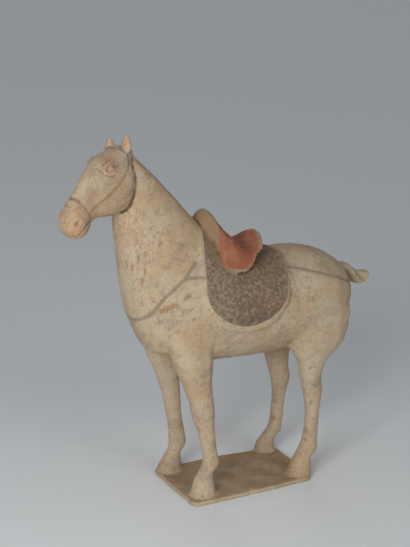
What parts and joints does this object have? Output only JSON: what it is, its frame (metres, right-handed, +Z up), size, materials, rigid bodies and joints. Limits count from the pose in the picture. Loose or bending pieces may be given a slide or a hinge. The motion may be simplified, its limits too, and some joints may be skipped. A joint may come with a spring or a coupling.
{
  "type": "pottery horse figure",
  "caption": "Fired clay figure of a standing saddled horse on a thin base slab, with a bare saddle, a mottled saddle cloth and painted straps, worn and stained.",
  "frame": {"origin": "on the underside of the base slab, under the middle of the four hooves", "axes": "+Z up, the horse faces -X, and its left side is -Y"},
  "size_m": [0.3245, 0.0964, 0.3421],
  "materials": {
    "slipped_earthenware": "matte"
  },
  "bodies": {
    "root": {"horse_figure": "slipped_earthenware"}
  },
  "joints": []
}
